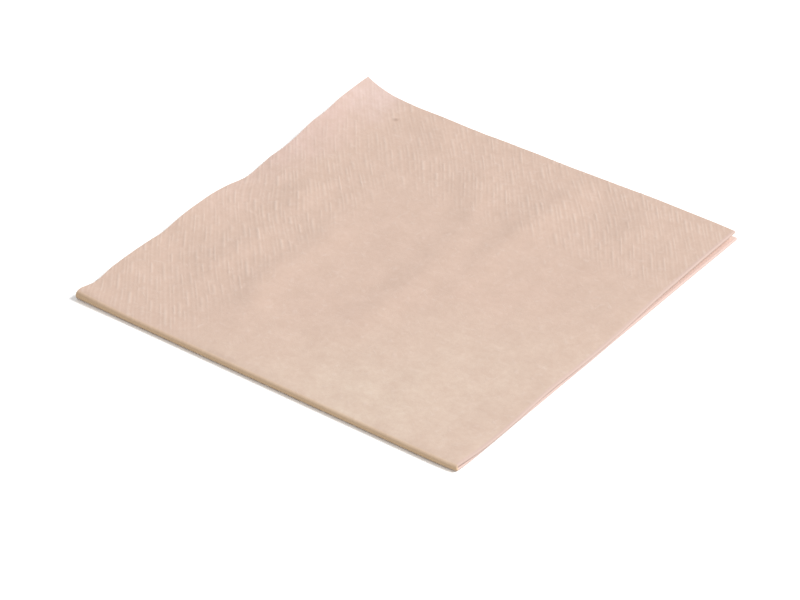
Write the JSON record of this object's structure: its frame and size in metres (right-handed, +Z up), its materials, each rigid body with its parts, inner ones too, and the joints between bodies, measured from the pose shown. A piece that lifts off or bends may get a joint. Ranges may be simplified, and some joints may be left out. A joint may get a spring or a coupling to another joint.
{
  "type": "paper napkin",
  "caption": "Kraft-coloured tissue napkin folded in quarters, lying flat with its free corner lifted and a fine diagonal embossed border along its cut edges.",
  "frame": {"origin": "on the surface that the napkin lies on, under the middle of the folded napkin", "axes": "+Z up; +Y from the second fold, the spine, to the free cut edge; +X towards the first fold"},
  "size_m": [0.1594, 0.1656, 0.0074],
  "materials": {
    "tissue": "matt creped two-ply tissue, unbleached, embossed in a border along the cut edges"
  },
  "bodies": {
    "root": {"napkin": "tissue"}
  },
  "joints": []
}
